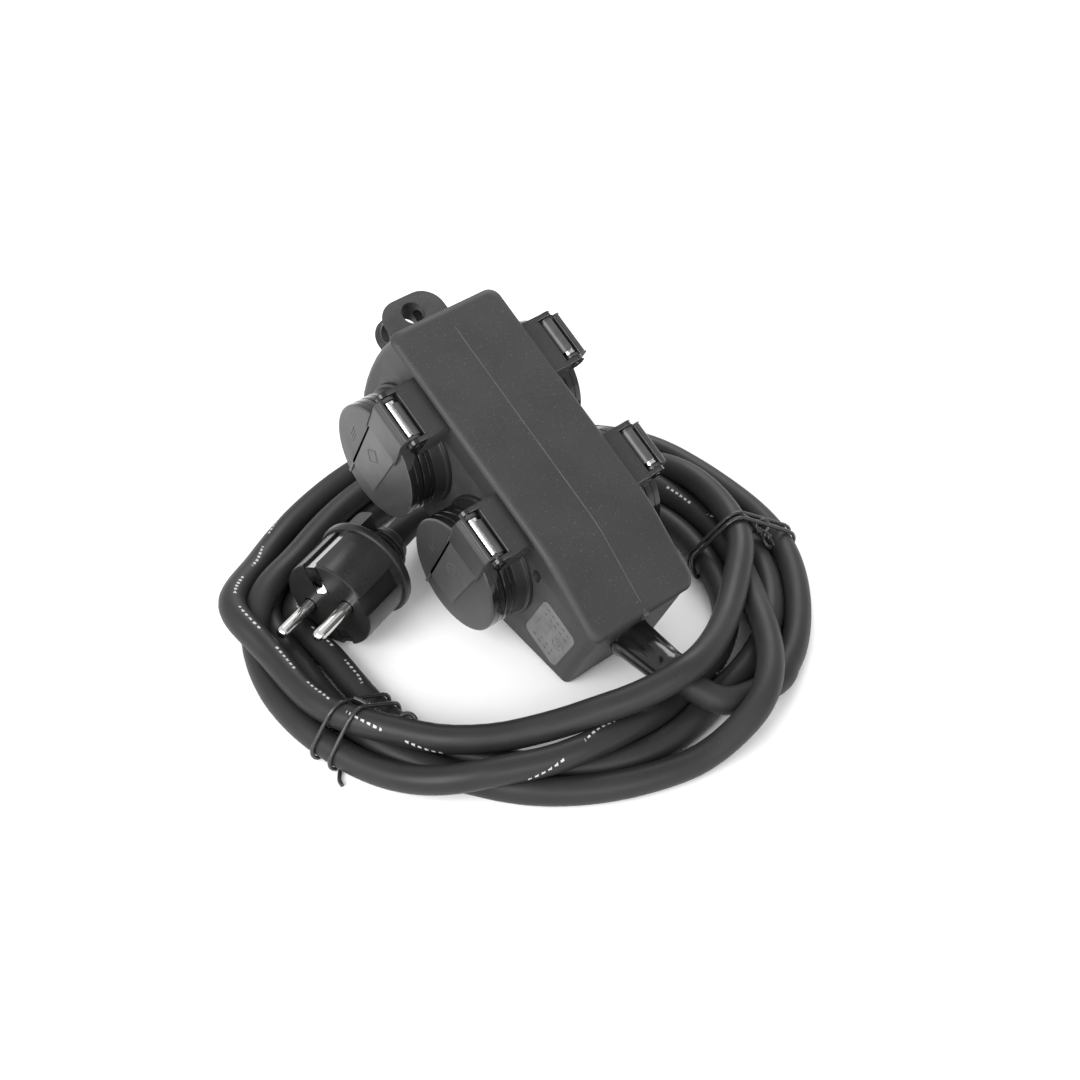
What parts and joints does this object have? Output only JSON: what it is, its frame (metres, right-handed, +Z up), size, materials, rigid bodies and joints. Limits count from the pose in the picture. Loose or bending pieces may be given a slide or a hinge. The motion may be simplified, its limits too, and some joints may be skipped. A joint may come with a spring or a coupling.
{
  "type": "portable power distribution box",
  "caption": "Portable rubber power distribution box with self-closing socket lids on both long sides, a hanging eye, and a coiled rubber lead with an earthed plug.",
  "frame": {"origin": "middle of the footprint of the box itself, without its lead and plug, on the surface it lies on", "axes": "+Z up, +Y horizontal towards the hanging eye, +X across the box to the side of lids 1 and 2; the box lies tipped on its nose"},
  "size_m": [0.2159, 0.201, 0.1054],
  "materials": {
    "casing_rubber": "matt moulded rubber",
    "cover_plastic": "matt",
    "seal_rubber": "matt",
    "screw_steel": "zinc plated",
    "plate_rubber": "matt",
    "contact_brass": "bright",
    "wire_brown": "satin",
    "wire_blue": "satin",
    "wire_green": "satin",
    "boot_rubber": "glossy",
    "lead_rubber": "matt",
    "plug_rubber": "satin",
    "pin_nickel": "nickel plated",
    "tie_wire": "satin",
    "ring_plastic": "glossy",
    "cup_plastic": "satin",
    "lid_rubber": "satin",
    "spring_steel": "bright"
  },
  "bodies": {
    "box": {"casing": "casing_rubber", "casing_side_1": "casing_rubber", "casing_side_2": "casing_rubber", "base_cover": "cover_plastic", "base_seal": "seal_rubber", "base_screws": "screw_steel", "rating_plate": "plate_rubber", "phase_bar": "contact_brass", "neutral_bar": "contact_brass", "earth_bar": "contact_brass", "phase_wire": "wire_brown", "neutral_wire": "wire_blue", "earth_wire": "wire_green", "cord_clamp": "cover_plastic", "clamp_screws": "screw_steel", "cord_boot": "boot_rubber", "cord_tail": "lead_rubber", "cord_coil": "lead_rubber", "plug_lead": "lead_rubber", "plug_body": "plug_rubber", "plug_pins": "pin_nickel", "plug_earth": "pin_nickel", "plug_screw": "screw_steel", "tie_left": "tie_wire", "tie_right": "tie_wire", "barrel_1": "casing_rubber", "socket_ring_1": "ring_plastic", "socket_cup_1": "cup_plastic", "earth_clip_1": "pin_nickel", "contacts_1": "contact_brass", "hinge_pin_1": "spring_steel", "spring_1": "spring_steel", "barrel_2": "casing_rubber", "socket_ring_2": "ring_plastic", "socket_cup_2": "cup_plastic", "earth_clip_2": "pin_nickel", "contacts_2": "contact_brass", "hinge_pin_2": "spring_steel", "spring_2": "spring_steel", "barrel_3": "casing_rubber", "socket_ring_3": "ring_plastic", "socket_cup_3": "cup_plastic", "earth_clip_3": "pin_nickel", "contacts_3": "contact_brass", "hinge_pin_3": "spring_steel", "spring_3": "spring_steel", "barrel_4": "casing_rubber", "socket_ring_4": "ring_plastic", "socket_cup_4": "cup_plastic", "earth_clip_4": "pin_nickel", "contacts_4": "contact_brass", "hinge_pin_4": "spring_steel", "spring_4": "spring_steel"},
    "lid_1": {"lid_1": "lid_rubber", "lid_seal_1": "seal_rubber"},
    "lid_2": {"lid_2": "lid_rubber", "lid_seal_2": "seal_rubber"},
    "lid_3": {"lid_3": "lid_rubber", "lid_seal_3": "seal_rubber"},
    "lid_4": {"lid_4": "lid_rubber", "lid_seal_4": "seal_rubber"}
  },
  "joints": [
    {"name": "lid_1_hinge", "type": "hinge", "parent": "box", "child": "lid_1", "pos_m": [0.0368, -0.01804, 0.06278], "axis": [0, -0.887, -0.4617], "range_deg": [0, 100], "stiffness_Nm_per_rad": 0.02, "springref_deg": -34.38},
    {"name": "lid_2_hinge", "type": "hinge", "parent": "box", "child": "lid_2", "pos_m": [0.0368, 0.02764, 0.08656], "axis": [0, -0.887, -0.4617], "range_deg": [0, 100], "stiffness_Nm_per_rad": 0.02, "springref_deg": -34.38},
    {"name": "lid_3_hinge", "type": "hinge", "parent": "box", "child": "lid_3", "pos_m": [-0.0368, -0.01804, 0.06278], "axis": [0, 0.887, 0.4617], "range_deg": [0, 100], "stiffness_Nm_per_rad": 0.02, "springref_deg": -34.38},
    {"name": "lid_4_hinge", "type": "hinge", "parent": "box", "child": "lid_4", "pos_m": [-0.0368, 0.02764, 0.08656], "axis": [0, 0.887, 0.4617], "range_deg": [0, 100], "stiffness_Nm_per_rad": 0.02, "springref_deg": -34.38}
  ]
}
